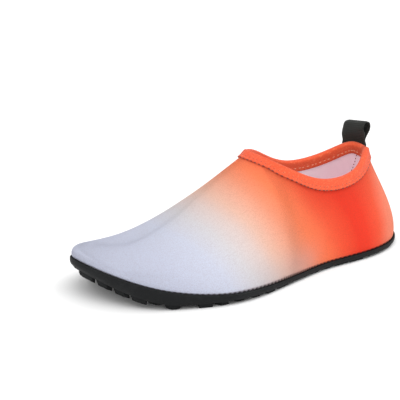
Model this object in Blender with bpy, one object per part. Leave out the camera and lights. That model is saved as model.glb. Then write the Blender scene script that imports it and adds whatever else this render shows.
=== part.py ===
"""A slip-on water shoe for the left foot: outsole, insole, stretch upper, collar binding and pull loop.

X runs from heel to toe, Y to the wearer's left (the outer side of this shoe) and Z up from the ground.
The last is worked out from its length, ball width, instep and collar heights through two tables of
sections. Each piece is a closed solid in metres, and curved pieces lie GAP apart.
"""

import math

import bmesh
import bpy
import numpy as np
from mathutils import Matrix, Vector
from mathutils.bvhtree import BVHTree

# The last
LENGTH = 0.250
BALL_WIDTH = 0.100
INSTEP_HEIGHT = 0.0745
COLLAR_HEIGHT = 0.0645
TOE_SPRING = 0.0195
TOE_SPRING_START = 0.67
ARCH_LIFT = 0.0025

# Upper and binding
UPPER_WALL = 0.0018
BINDING_WIDTH = 0.0068
BINDING_WALL = 0.0010
BINDING_GAP = 0.0005
GAP = 0.0003

# Outsole
HEEL_SIDE = 0.0036
BALL_SIDE = 0.0052
HEEL_TREAD = 0.0018
BALL_TREAD = 0.0034
TOE_LIFT = 0.0175
TOE_LIFT_START = 0.80
LIP_THICKNESS = 0.0012
LIP_DEPTH = 0.0015
UNDERCUT = 0.0009
TOE_UNDERCUT = 0.0032

# Tread
LUG_PITCH = 0.0130
LUG_ACROSS = 0.0098
LUG_MARGIN = 0.0014
LUG_BITE = 0.0010
PAD_RING = 0.0026
PAD_STUD_ACROSS = 0.0036

# Insole
INSOLE_THICKNESS = 0.0020
INSOLE_MARGIN = 0.0004

# Pull loop
LOOP_WIDTH = 0.0185
LOOP_WALL = 0.0011
LOOP_TAB = 0.0130
LOOP_RISE = 0.0155
LOOP_EYE = 0.0055
LOOP_INWARD = 0.0100
LOOP_TURN = math.radians(-30)
LOOP_TILT = 0.16
LOOP_PUCKER = 0.85

# Mesh fineness
ROW_STEPS = 4
WALL_STEPS = 8
TOP_FINENESS = 1.5
RIM_STEPS = 2
SOLE_STEPS = 4
SEAT_STEPS = 2
LOOP_STEPS = 4
BORDER_STEPS = 2
PAD_SEGMENTS = 16
DOT_SEGMENTS = 12
FLAT_ANGLE = math.radians(0.6)

# Places along the last and across it are shares of LENGTH and BALL_WIDTH. Heights above the edge of the
# sole are shares of INSTEP_HEIGHT in the vamp table and of COLLAR_HEIGHT in the quarter table. swell is a
# share of BALL_WIDTH, rise and fall are shares of the wall's height and reach of its run.
VAMP_COLUMNS = (
    "name", "at", "outer", "inner", "top_at", "ridge", "height", "rise", "swell", "reach", "fall",
)
VAMP_ROWS = (
    ("toe tip", 1.000, -0.180, -0.180, 0.945, -0.200, 0.185, 0.75, 0.020, 0.80, 0.00),
    ("toe", 0.975, 0.050, -0.320, 0.922, -0.180, 0.192, 0.75, 0.020, 0.75, 0.00),
    ("toe joints", 0.900, 0.290, -0.460, 0.870, -0.140, 0.223, 0.75, 0.020, 0.70, 0.00),
    ("forefoot", 0.800, 0.425, -0.485, 0.790, -0.105, 0.335, 0.70, 0.020, 0.62, 0.00),
    ("ball", 0.690, 0.520, -0.440, 0.690, -0.080, 0.526, 0.70, 0.015, 0.56, 0.00),
    ("waist", 0.580, 0.520, -0.345, 0.585, -0.075, 0.750, 0.65, 0.015, 0.56, 0.00),
    ("throat", 0.480, 0.460, -0.275, 0.455, -0.080, 1.006, 0.62, 0.015, 0.52, 0.00),
)
QUARTER_COLUMNS = (
    "name", "at", "outer", "inner", "top_at", "top_outer", "top_inner", "high_outer", "high_inner",
    "rise", "swell", "reach", "fall",
)
QUARTER_ROWS = (
    ("throat side", 0.435, 0.430, -0.260, 0.434, 0.107, -0.179, 1.128, 1.121, 0.60, 0.016, 0.48, 0.14),
    ("quarter front", 0.385, 0.398, -0.256, 0.386, 0.223, -0.227, 1.025, 1.041, 0.57, 0.020, 0.30, 0.17),
    ("quarter dip", 0.290, 0.355, -0.290, 0.284, 0.247, -0.242, 0.861, 0.849, 0.46, 0.030, 0.25, 0.34),
    ("heel side", 0.170, 0.345, -0.340, 0.162, 0.203, -0.193, 0.870, 0.882, 0.42, 0.035, 0.05, 0.30),
    ("heel corner", 0.050, 0.245, -0.245, 0.097, 0.087, -0.093, 0.983, 0.993, 0.32, 0.040, 0.10, 0.20),
    ("heel back", 0.000, 0.000, 0.000, 0.075, 0.000, 0.000, 0.960, 0.960, 0.32, 0.033, 0.06, 0.25),
)
THROAT = len(VAMP_ROWS) - 1
HEEL_BACK = THROAT + len(QUARTER_ROWS)
ROW_COUNT = 2 * HEEL_BACK
INNER_THROAT = ROW_COUNT - THROAT
SAMPLES = ROW_COUNT * ROW_STEPS

# The loop's two strands above the rim: height as a share of LOOP_RISE, places as shares of LOOP_EYE.
LOOP_COLUMNS = ("rise", "front", "rear")
LOOP_ROWS = (
    (0.20, -0.10, 0.10),
    (0.45, -0.40, 0.50),
    (0.70, -0.50, 0.70),
    (0.88, -0.35, 0.60),
    (0.98, -0.05, 0.25),
)

# Round pads of the tread: place along and across, radius as a share of BALL_WIDTH, number of studs.
PAD_COLUMNS = ("name", "at", "side", "radius", "studs")
PAD_ROWS = (
    ("big toe ball", 0.735, -0.255, 0.150, 6),
    ("inner ball", 0.590, -0.130, 0.104, 6),
    ("outer ball", 0.655, 0.245, 0.104, 6),
    ("arch front", 0.505, -0.010, 0.062, 0),
    ("arch middle", 0.415, 0.035, 0.062, 0),
    ("arch rear", 0.325, 0.035, 0.062, 0),
)

# The bend line of the forefoot and the smooth shank are left without lugs: edges as shares.
FLEX_COLUMNS = ("side", "front", "back")
FLEX_ROWS = (
    (-0.50, 0.905, 0.855),
    (-0.20, 0.885, 0.800),
    (0.05, 0.860, 0.770),
    (0.25, 0.815, 0.765),
    (0.55, 0.790, 0.745),
)
SHANK_COLUMNS = ("at", "edge")
SHANK_ROWS = (
    (0.700, -0.480),
    (0.640, -0.330),
    (0.560, -0.225),
    (0.460, -0.165),
    (0.360, -0.130),
    (0.260, -0.160),
    (0.180, -0.330),
)


def named(columns, rows):
    return [dict(zip(columns, row)) for row in rows]


VAMP = named(VAMP_COLUMNS, VAMP_ROWS)
QUARTER = named(QUARTER_COLUMNS, QUARTER_ROWS)
PADS = named(PAD_COLUMNS, PAD_ROWS)
FLEX = named(FLEX_COLUMNS, FLEX_ROWS)
SHANK = named(SHANK_COLUMNS, SHANK_ROWS)


def blend(start, end, value):
    """Smooth step from 0 at start to 1 at end."""
    t = np.clip((value - start) / (end - start), 0, 1)
    return t * t * (3 - 2 * t)


def spline(rows, closed):
    """Cubic spline through rows at 0, 1, 2 ... as a function of the row number."""
    y = np.asarray(rows, float)
    count = len(y)
    matrix = np.eye(count)
    right = np.zeros_like(y)
    for i in range(count):
        before, after = i - 1, i + 1
        if not closed and (i == 0 or i == count - 1):
            continue
        matrix[i] = 0
        matrix[i, i] = 4
        matrix[i, before % count] += 1
        matrix[i, after % count] += 1
        right[i] = 6 * (y[after % count] - 2 * y[i] + y[before % count])
    bend = np.linalg.solve(matrix, right)

    def curve(number):
        number = np.asarray(number, float)
        if closed:
            number = number % count
            low = np.floor(number).astype(int) % count
        else:
            low = np.clip(np.floor(number).astype(int), 0, count - 2)
        high = (low + 1) % count
        b = (number - low)[..., None]
        a = 1 - b
        return a * y[low] + b * y[high] + ((a**3 - a) * bend[low] + (b**3 - b) * bend[high]) / 6

    return curve


def side_height(x):
    return HEEL_SIDE + (BALL_SIDE - HEEL_SIDE) * blend(0.40, 0.75, x / LENGTH)


def tread_depth(x):
    return HEEL_TREAD + (BALL_TREAD - HEEL_TREAD) * blend(0.40, 0.75, x / LENGTH)


def curl(x, start, lift):
    return lift * np.clip((x / LENGTH - start) / (1 - start), 0, None) ** 2


def arch_height(x, y):
    """Lift of the inner side between heel and ball."""
    along = np.exp(-(((x / LENGTH - 0.43) / 0.10) ** 2))
    return ARCH_LIFT * along * blend(0.05, -0.25, y / BALL_WIDTH)


def edge_height(x, y):
    """Top edge of the sole above the ground, where the upper comes out of it."""
    return tread_depth(x) + side_height(x) + curl(x, TOE_SPRING_START, TOE_SPRING) + arch_height(x, y)


def floor_height(x, y):
    """Underside of the sole between its lugs."""
    return tread_depth(x) + curl(x, TOE_LIFT_START, TOE_LIFT) + arch_height(x, y)


def ground_height(x, y):
    """Under face of a lug."""
    return floor_height(x, y) - tread_depth(x)


OUTER_ROWS = [(r["at"], r["outer"]) for r in VAMP[1:] + QUARTER[:-1]]
INNER_ROWS = [(r["at"], r["inner"]) for r in VAMP[1:] + QUARTER[:-1]]
TOE_TIP = (VAMP[0]["at"], VAMP[0]["outer"])
OUTLINE = spline([TOE_TIP] + OUTER_ROWS + [(QUARTER[-1]["at"], 0.0)] + INNER_ROWS[::-1], closed=True)
WALL_SHAPE = [(r["rise"], r["swell"], r["reach"], r["fall"]) for r in VAMP + QUARTER]
WALL = spline(WALL_SHAPE + WALL_SHAPE[-2:0:-1], closed=True)
RIDGE = spline([(r["top_at"], r["ridge"], r["height"]) for r in VAMP], closed=False)
OUTER_RIM = [(r["top_at"], r["top_outer"], r["high_outer"]) for r in QUARTER]
INNER_RIM = [(r["top_at"], r["top_inner"], r["high_inner"]) for r in QUARTER]
THROAT_TOP = (VAMP[-1]["top_at"], VAMP[-1]["ridge"], VAMP[-1]["height"] * INSTEP_HEIGHT / COLLAR_HEIGHT)
RIM = spline([THROAT_TOP] + OUTER_RIM + INNER_RIM[-2::-1], closed=True)


def outline(number):
    """The plan of the last's feather edge, as x and y for each row number."""
    return OUTLINE(number) * (LENGTH, BALL_WIDTH)


def outward(number):
    """Unit normal of the plan outline, pointing away from the foot."""
    step = 0.01
    tangent = outline(number + step) - outline(number - step)
    tangent /= np.linalg.norm(tangent, axis=-1, keepdims=True)
    return np.stack((tangent[..., 1], -tangent[..., 0], np.zeros_like(tangent[..., 0])), axis=-1)


def foot_line(number):
    plan = outline(number)
    return np.column_stack((plan, edge_height(plan[:, 0], plan[:, 1])))


def above_edge(place):
    """Shares of the named sizes as a point, its height counted from the edge of the sole."""
    place = place.copy()
    place[:, 2] += edge_height(place[:, 0], np.zeros(len(place)))
    return place


def top_line(number):
    """Where each wall profile ends: on the vamp's ridge or on the collar's rim."""
    vamp = np.minimum(number, ROW_COUNT - number)
    ridge = above_edge(RIDGE(np.clip(vamp, 0, THROAT)) * (LENGTH, BALL_WIDTH, INSTEP_HEIGHT))
    rim = above_edge(RIM(number - THROAT) * (LENGTH, BALL_WIDTH, COLLAR_HEIGHT))
    return np.where((vamp <= THROAT)[:, None], ridge, rim)


def along_ridge(number, across):
    """Rise of the vamp's ridge over the part of a level vector that runs along it. With it the two sides
    of the vamp share a tangent plane at the ridge, and past the throat it fades out."""
    vamp = np.minimum(number, ROW_COUNT - number)
    place, step = np.minimum(vamp, THROAT), 0.01
    run = top_line(np.minimum(place + step, THROAT)) - top_line(np.maximum(place - step, 0))
    share = (across[:, :2] * run[:, :2]).sum(axis=1) / (run[:, :2] ** 2).sum(axis=1)
    return share * run[:, 2] * (1 - blend(THROAT, THROAT + 2, vamp))


def wall_grid(steps, cells):
    """Points of the upper's outer skin: a wall profile at each step round the foot, with its cells
    closer together toward the top."""
    number = np.arange(ROW_COUNT * steps) / steps
    foot, top, shape = foot_line(number), top_line(number), WALL(number)
    rise, swell, reach, fall = shape.T
    across = (top - foot) * (1, 1, 0)
    up = (top - foot) * (0, 0, 1)
    low = foot + up * rise[:, None] + outward(number) * swell[:, None] * BALL_WIDTH
    across[:, 2] = along_ridge(number, across)
    high = top - across * reach[:, None] - up * fall[:, None]
    v = (1 - np.linspace(1, 0, cells + 1) ** TOP_FINENESS)[None, :, None]
    return (
        (1 - v) ** 3 * foot[:, None]
        + 3 * v * (1 - v) ** 2 * low[:, None]
        + 3 * v**2 * (1 - v) * high[:, None]
        + v**3 * top[:, None]
    )


def new_object(name, bm, colour, roughness, metallic=0.0):
    mesh = bpy.data.meshes.new(name)
    bm.to_mesh(mesh)
    bm.free()
    obj = bpy.data.objects.new(name, mesh)
    bpy.context.collection.objects.link(obj)
    material = bpy.data.materials.new(name)
    material.use_nodes = True
    shader = material.node_tree.nodes["Principled BSDF"]
    shader.inputs["Base Color"].default_value = (*colour, 1.0)
    shader.inputs["Roughness"].default_value = roughness
    shader.inputs["Metallic"].default_value = metallic
    mesh.materials.append(material)
    return obj


def add_points(bm, points):
    return [bm.verts.new(p) for p in points]


def strip(bm, lower, upper, closed=True):
    """Quads between two rows of vertices of the same length."""
    count = len(lower)
    for i in range(count if closed else count - 1):
        j = (i + 1) % count
        corners = []
        for vertex in (lower[i], lower[j], upper[j], upper[i]):
            if vertex not in corners:
                corners.append(vertex)
        if len(corners) > 2:
            bm.faces.new(corners)


def finish(bm):
    bmesh.ops.recalc_face_normals(bm, faces=bm.faces)
    bmesh.ops.triangulate(bm, faces=bm.faces)


def skin_rows(bm, points):
    """Vertices of a wall grid, where the two sides of the vamp share the ridge's vertices."""
    count = len(points)
    steps = count // ROW_COUNT
    rows = [add_points(bm, points[:, j]) for j in range(points.shape[1] - 1)]
    top = []
    for i in range(count):
        mirrored = count - i
        if mirrored <= THROAT * steps:
            top.append(top[mirrored])
        else:
            top.append(bm.verts.new(points[i, -1]))
    return rows + [top]


def outer_skin(bm, steps, cells):
    """The upper's outer skin as rows of vertices with their normals."""
    rows = skin_rows(bm, wall_grid(steps, cells))
    for lower, upper in zip(rows, rows[1:]):
        strip(bm, lower, upper)
    bm.normal_update()
    return rows


class Skin:
    """The upper's outer skin, asked for the nearest place on it and for a smooth normal."""

    def __init__(self):
        faceted, fine = bmesh.new(), bmesh.new()
        outer_skin(faceted, ROW_STEPS, WALL_STEPS)
        outer_skin(fine, ROW_STEPS * 4, WALL_STEPS * 3)
        self.tree = BVHTree.FromBMesh(faceted)
        self.points = np.array([v.co[:] for v in fine.verts])
        self.normals = np.array([v.normal[:] for v in fine.verts])
        faceted.free()
        fine.free()

    def place(self, point):
        return np.array(self.tree.find_nearest(Vector(point))[0])

    def normal(self, point):
        distance = np.linalg.norm(self.points - point, axis=1)
        weight = np.exp(-((distance / 0.003) ** 2))
        total = (self.normals * weight[:, None]).sum(axis=0)
        return total / np.linalg.norm(total)


def make_upper():
    """One hollow wall, open at the collar and underneath."""
    bm = bmesh.new()
    outer = outer_skin(bm, ROW_STEPS, WALL_STEPS)
    behind = {}
    for row in outer:
        for vertex in row:
            if vertex not in behind:
                behind[vertex] = bm.verts.new(vertex.co - vertex.normal * UPPER_WALL)
    inner = [[behind[vertex] for vertex in row] for row in outer]
    for lower, upper in zip(inner, inner[1:]):
        strip(bm, lower, upper)
    number = np.arange(SAMPLES) / ROW_STEPS
    foot = foot_line(number) - (0.0, 0.0, LIP_DEPTH - GAP)
    outer_foot = add_points(bm, foot)
    inner_foot = add_points(bm, foot - outward(number) * UPPER_WALL)
    strip(bm, outer_foot, outer[0])
    strip(bm, inner_foot, inner[0])
    strip(bm, outer_foot, inner_foot)
    rim = slice(THROAT * ROW_STEPS, INNER_THROAT * ROW_STEPS + 1)
    strip(bm, outer[-1][rim], inner[-1][rim], closed=False)
    finish(bm)
    return new_object("upper", bm, (0.80, 0.34, 0.24), 0.80)


def rim_frames(skin):
    """Points round the collar, with the direction away from the cloth and the wall's normal at each. They
    lie on the upper's own edges, closer together near the throat."""
    rows = np.arange(THROAT * ROW_STEPS, INNER_THROAT * ROW_STEPS) / ROW_STEPS
    corners = top_line(rows)
    points = []
    for i, corner in enumerate(corners):
        following = corners[(i + 1) % len(corners)]
        near_throat = min(i + 0.5, len(corners) - i - 0.5) < ROW_STEPS * 2
        parts = RIM_STEPS if near_throat else 1
        points += [corner + (following - corner) * k / parts for k in range(parts)]
    points = np.array(points)
    ahead, behind = np.roll(points, -1, axis=0) - points, points - np.roll(points, 1, axis=0)
    ahead /= np.linalg.norm(ahead, axis=1, keepdims=True)
    behind /= np.linalg.norm(behind, axis=1, keepdims=True)
    tangent = ahead + behind
    normal = np.array([skin.normal(p) for p in points])
    away = np.cross(normal, tangent)
    away /= np.linalg.norm(away, axis=1, keepdims=True)
    normal = np.cross(tangent, away)
    normal /= np.linalg.norm(normal, axis=1, keepdims=True)
    return points, away, normal


def make_binding(skin):
    """A folded strip round the collar, with a leg outside and a leg inside the upper."""
    points, away, normal = rim_frames(skin)
    depths = (0.0, BINDING_WIDTH / 2, BINDING_WIDTH)
    outside, inside = [], []
    for depth in depths:
        line, across = [], []
        for point, direction, wall in zip(points, away, normal):
            place = skin.place(point - direction * depth) if depth else point
            line.append(place)
            across.append(skin.normal(place) if depth else wall)
        outside.append((np.array(line), np.array(across)))
    near, far = BINDING_GAP, BINDING_GAP + BINDING_WALL
    rings = [line + across * near for line, across in outside]
    rings += [line + across * far for line, across in outside[::-1]]
    inside_near, inside_far = UPPER_WALL + near, UPPER_WALL + far
    edge, wall = outside[0]
    rings.append(edge + away * far + wall * (far - BINDING_WALL * 0.4))
    rings.append(edge + away * far - wall * (inside_far - BINDING_WALL * 0.4))
    rings += [line - across * inside_far for line, across in outside]
    rings += [line - across * inside_near for line, across in outside[::-1]]
    rings.append(edge + away * near - wall * inside_near)
    rings.append(edge + away * near + wall * near)
    bm = bmesh.new()
    rows = [add_points(bm, ring) for ring in rings]
    for lower, upper in zip(rows, rows[1:] + rows[:1]):
        strip(bm, lower, upper)
    finish(bm)
    return new_object("collar_binding", bm, (0.78, 0.15, 0.06), 0.75)


def plate(bm, ring, heights, cells):
    """Cross rungs between the two sides of a closed ring of vertices, at the height of a function."""
    half = len(ring) // 2
    ladder = []
    for i in range(1, half):
        left, right = ring[i], ring[-i]
        rung = [left]
        for k in range(1, cells):
            place = left.co.lerp(right.co, k / cells)
            rung.append(bm.verts.new((place.x, place.y, heights(place.x, place.y))))
        ladder.append(rung + [right])
    strip_rows = [[ring[0]] * (cells + 1)] + ladder + [[ring[half]] * (cells + 1)]
    for front, back in zip(strip_rows, strip_rows[1:]):
        strip(bm, front, back, closed=False)


def seat_height(x, y):
    """Top of the sole's plate, inside its lip."""
    return edge_height(x, y) - LIP_DEPTH


def make_sole_plate():
    """The sole without its lugs: a plate with a lip that stands round the upper's foot."""
    number = np.arange(SAMPLES) / ROW_STEPS
    foot, out = foot_line(number), outward(number)
    x, y = foot[:, 0], foot[:, 1]
    reach = GAP + LIP_THICKNESS
    undercut = UNDERCUT + (TOE_UNDERCUT - UNDERCUT) * blend(0.82, 1.0, x / LENGTH)
    floor = floor_height(x, y)
    tall = foot[:, 2] - floor

    def ring(offset, height):
        place = foot + out * np.broadcast_to(offset, x.shape)[:, None]
        place[:, 2] = height
        return place

    rings = [
        ring(GAP, seat_height(x, y)),
        ring(GAP, foot[:, 2]),
        ring(reach - LIP_THICKNESS * 0.25, foot[:, 2]),
        ring(reach, foot[:, 2] - LIP_THICKNESS * 0.5),
        ring(reach - undercut * 0.12, foot[:, 2] - tall * 0.6),
        ring(reach - undercut, floor),
    ]
    bm = bmesh.new()
    rows = [add_points(bm, points) for points in rings]
    for lower, upper in zip(rows, rows[1:]):
        strip(bm, lower, upper)
    plate(bm, rows[0], seat_height, SEAT_STEPS)
    plate(bm, rows[-1], floor_height, SOLE_STEPS)
    bmesh.ops.dissolve_limit(bm, angle_limit=FLAT_ANGLE, verts=bm.verts, edges=bm.edges)
    finish(bm)
    return new_object("outsole", bm, (0.030, 0.031, 0.032), 0.55)


def between(rows, key, value, at):
    """Straight interpolation of one column of a table by another."""
    order = sorted(rows, key=lambda r: r[key])
    return np.interp(at, [r[key] for r in order], [r[value] for r in order])


def is_bare(x, y):
    """True on the bend line, on the smooth shank and round the pads."""
    along, side = x / LENGTH, y / BALL_WIDTH
    front, back = between(FLEX, "side", "front", side), between(FLEX, "side", "back", side)
    if back < along < front:
        return True
    if SHANK[-1]["at"] < along < SHANK[0]["at"] and side < between(SHANK, "at", "edge", along):
        return True
    room = LUG_ACROSS * 0.5
    for pad in PADS:
        distance = math.hypot(x - pad["at"] * LENGTH, y - pad["side"] * BALL_WIDTH)
        if distance < pad["radius"] * BALL_WIDTH + room:
            return True
    return False


def drop_prism(bm, faces):
    """Draw flat faces down into a lug that bites into the sole and ends on the tread's under face."""
    made = bmesh.ops.extrude_face_region(bm, geom=faces)["geom"]
    bottom = {v for v in made if isinstance(v, bmesh.types.BMVert)}
    top = {v for face in faces for v in face.verts} - bottom
    for vertex in top:
        vertex.co.z = floor_height(vertex.co.x, vertex.co.y) + LUG_BITE
    for vertex in bottom:
        vertex.co.z = ground_height(vertex.co.x, vertex.co.y)


def add_lug(bm, x, y, across, border):
    """One hexagonal lug, cut along the sole's border where it reaches over it."""
    place = Matrix.Translation((x, y, 0)) @ Matrix.Rotation(math.pi / 2, 4, "Z")
    radius = across / math.sqrt(3)
    made = bmesh.ops.create_circle(bm, cap_ends=True, segments=6, radius=radius, matrix=place)
    hexagon = made["verts"][0].link_faces[0]
    geometry = list(hexagon.verts) + list(hexagon.edges) + [hexagon]
    points, normals = border
    nearest = np.argmin(np.hypot(points[:, 0] - x, points[:, 1] - y))
    span = radius * 1.2
    for k in range(len(points)):
        if np.hypot(points[k, 0] - x, points[k, 1] - y) > span + LUG_PITCH * 0.3 and k != nearest:
            continue
        cut = bmesh.ops.bisect_plane(
            bm,
            geom=[g for g in geometry if g.is_valid],
            dist=1e-7,
            plane_co=(points[k, 0], points[k, 1], 0),
            plane_no=(normals[k, 0], normals[k, 1], 0),
            clear_outer=True,
        )
        geometry = [g for g in cut["geom"] if g.is_valid] or [g for g in geometry if g.is_valid]
    faces = [g for g in geometry if isinstance(g, bmesh.types.BMFace) and g.is_valid]
    area = sum(f.calc_area() for f in faces)
    if not faces or area < 0.45 * across * across * math.sqrt(3) / 2:
        corners = [g for g in geometry if g.is_valid and isinstance(g, bmesh.types.BMVert)]
        bmesh.ops.delete(bm, geom=corners, context="VERTS")
        return
    drop_prism(bm, faces)


def make_lugs():
    """Hexagonal lugs in rows along the foot, with every second row set half a pitch further on."""
    number = np.arange(ROW_COUNT * BORDER_STEPS) / BORDER_STEPS
    foot, out = foot_line(number), outward(number)
    undercut = UNDERCUT + (TOE_UNDERCUT - UNDERCUT) * blend(0.82, 1.0, foot[:, 0] / LENGTH)
    inset = foot + out * (GAP + LIP_THICKNESS - undercut - LUG_MARGIN)[:, None]
    border = (inset[:, :2], out[:, :2])
    bm = bmesh.new()
    row_step = LUG_PITCH * math.sqrt(3) / 2
    rows = math.ceil(0.56 * BALL_WIDTH / row_step)
    columns = math.ceil(LENGTH / LUG_PITCH)
    for row in range(-rows, rows + 1):
        for column in range(columns + 1):
            x = (column + 0.5 * (row % 2) + 0.35) * LUG_PITCH
            y = row * row_step
            near = nearest_points(border[0], x, y)
            beyond = np.einsum("ij,ij->i", (x, y) - border[0][near], border[1][near])
            inside = np.all(beyond < LUG_ACROSS * 0.2)
            if inside and not is_bare(x, y):
                add_lug(bm, x, y, LUG_ACROSS, border)
    for pad in PADS:
        add_pad(bm, pad)
    bmesh.ops.remove_doubles(bm, verts=bm.verts, dist=1e-6)
    finish(bm)
    return bm


def nearest_points(points, x, y, count=3):
    return np.argsort(np.hypot(points[:, 0] - x, points[:, 1] - y))[:count]


def add_pad(bm, pad):
    """A round pad: a raised ring with studs inside it."""
    x, y = pad["at"] * LENGTH, pad["side"] * BALL_WIDTH
    radius = pad["radius"] * BALL_WIDTH
    segments = PAD_SEGMENTS if pad["studs"] else DOT_SEGMENTS
    place = Matrix.Translation((x, y, 0))
    made = bmesh.ops.create_circle(bm, cap_ends=True, segments=segments, radius=radius, matrix=place)
    disc = made["verts"][0].link_faces[0]
    inset = bmesh.ops.inset_region(
        bm, faces=[disc], thickness=PAD_RING, use_boundary=True, use_even_offset=True
    )
    bmesh.ops.delete(bm, geom=[disc], context="FACES_ONLY")
    drop_prism(bm, inset["faces"])
    centres = [(x, y)]
    for k in range(pad["studs"]):
        angle = math.tau * k / pad["studs"]
        centres.append((x + radius * 0.48 * math.cos(angle), y + radius * 0.48 * math.sin(angle)))
    for cx, cy in centres:
        across = radius * 0.40 if pad["studs"] else PAD_STUD_ACROSS * 1.2
        size = across / math.sqrt(3)
        middle = Matrix.Translation((cx, cy, 0))
        stud = bmesh.ops.create_circle(bm, cap_ends=True, segments=6, radius=size, matrix=middle)
        drop_prism(bm, [stud["verts"][0].link_faces[0]])


def make_outsole():
    sole = make_sole_plate()
    lugs = new_object("tread_lugs", make_lugs(), (0.030, 0.031, 0.032), 0.55)
    lugs.hide_render = True
    lugs.display_type = "WIRE"
    union = sole.modifiers.new("tread", "BOOLEAN")
    union.operation = "UNION"
    union.solver = "EXACT"
    union.use_self = True
    union.object = lugs
    return sole, lugs


def make_insole():
    """A thin sheet on the sole's plate, inside the upper's foot."""
    number = np.arange(SAMPLES) / ROW_STEPS
    foot = foot_line(number) - outward(number) * (UPPER_WALL + INSOLE_MARGIN)

    def under(x, y):
        return seat_height(x, y) + GAP

    def over(x, y):
        return seat_height(x, y) + GAP + INSOLE_THICKNESS

    bm = bmesh.new()
    rows = []
    for heights in (under, over):
        ring = foot.copy()
        ring[:, 2] = heights(ring[:, 0], ring[:, 1])
        rows.append(add_points(bm, ring))
    strip(bm, rows[0], rows[1])
    plate(bm, rows[0], under, SEAT_STEPS)
    plate(bm, rows[1], over, SEAT_STEPS)
    finish(bm)
    return new_object("insole", bm, (0.62, 0.58, 0.60), 0.85)


def make_pull_loop(skin):
    """Webbing folded into a loop above the heel, its two ends sewn flat outside the binding."""
    points, away, normal = rim_frames(skin)
    lengths = np.concatenate(((0.0,), np.cumsum(np.linalg.norm(np.diff(points, axis=0), axis=1))))
    middle_at = lengths[np.argmin(points[:, 0])] + LOOP_INWARD

    def at_rim(values, along):
        return np.array([np.interp(middle_at + along, lengths, values[:, axis]) for axis in range(3)])

    first = BINDING_GAP + BINDING_WALL + GAP + LOOP_WALL / 2
    second = first + LOOP_WALL + GAP
    middle, middle_out = at_rim(points, 0.0), at_rim(normal, 0.0)
    back = middle_out * (1, 1, 0) / np.hypot(middle_out[0], middle_out[1])
    side = np.array((back[1], -back[0], 0.0))
    columns = []
    for share in np.linspace(0.5, -0.5, LOOP_STEPS + 1):
        along = -share * LOOP_WIDTH * LOOP_PUCKER
        edge, out, up = at_rim(points, along), at_rim(normal, along), at_rim(away, along)
        places = [skin.place(edge - up * LOOP_TAB * k) for k in (1.0, 0.5)]
        normals = [skin.normal(place) for place in places]
        column = [place + across * first for place, across in zip(places, normals)] + [edge + out * first]
        for rise, front, rear in LOOP_ROWS:
            turn = np.array(Matrix.Rotation(LOOP_TURN * blend(0.0, 0.8, rise), 3, "Z"))
            straight = middle + (turn @ side + (0.0, 0.0, LOOP_TILT)) * share * LOOP_WIDTH
            base = edge + (straight - edge) * blend(0.0, 0.6, rise) + (0.0, 0.0, rise * LOOP_RISE)
            column.append(base + turn @ back * (first + front * LOOP_EYE))
            column.append(base + turn @ back * (second + rear * LOOP_EYE))
        fronts, rears = column[3::2], column[4::2]
        column = column[:3] + fronts + rears[::-1]
        column += [edge + out * second] + [p + n * second for p, n in zip(places[::-1], normals[::-1])]
        columns.append(column)
    grid = np.array(columns)
    along = np.gradient(grid, axis=1)
    thick = np.cross(along, np.gradient(grid, axis=0))
    thick *= LOOP_WALL / 2 / np.linalg.norm(thick, axis=2, keepdims=True)
    bm = bmesh.new()
    rings = []
    for k in range(grid.shape[1]):
        face, behind = grid[:, k] + thick[:, k], grid[:, k] - thick[:, k]
        rings.append(add_points(bm, np.concatenate((face, behind[::-1]))))
    for lower, upper in zip(rings, rings[1:]):
        strip(bm, lower, upper)
    bm.faces.new(rings[0])
    bm.faces.new(rings[-1])
    finish(bm)
    return new_object("pull_loop", bm, (0.030, 0.031, 0.033), 0.80)


def main():
    for obj in list(bpy.data.objects):
        bpy.data.objects.remove(obj)
    skin = Skin()
    sole, lugs = make_outsole()
    pieces = [sole, lugs, make_insole(), make_upper()]
    pieces += [make_binding(skin), make_pull_loop(skin)]
    corners = np.array([v.co[:] for v in sole.data.vertices])
    low, high = corners.min(axis=0), corners.max(axis=0)
    centre = Vector(((low[0] + high[0]) / 2, (low[1] + high[1]) / 2, 0.0))
    for piece in pieces:
        piece.location = -centre


main()
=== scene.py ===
"""Dresses the water shoe: knit upper with its lining, collar binding, stitches, pull loop, insole and
rubber outsole, all worked out from the same last as the solids."""

import math

import bmesh
import bpy
import numpy as np
from bpy.props import FloatProperty, FloatVectorProperty, PointerProperty
from mathutils import Matrix, Vector
from mathutils.bvhtree import BVHTree
from mathutils.kdtree import KDTree


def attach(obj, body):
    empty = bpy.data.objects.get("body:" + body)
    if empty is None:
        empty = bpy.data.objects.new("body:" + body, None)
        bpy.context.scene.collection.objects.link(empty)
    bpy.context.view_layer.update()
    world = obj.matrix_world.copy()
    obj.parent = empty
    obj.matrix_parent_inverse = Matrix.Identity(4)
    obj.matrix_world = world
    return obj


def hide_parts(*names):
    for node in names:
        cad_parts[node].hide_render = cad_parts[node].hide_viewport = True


bl_info = {
    "name": "Water shoe",
    "version": (1, 0, 0),
    "blender": (4, 5, 0),
    "location": "View3D > Sidebar > Shoe",
    "description": "Models and finishes a slip-on water shoe",
    "category": "Add Mesh",
}

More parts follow.
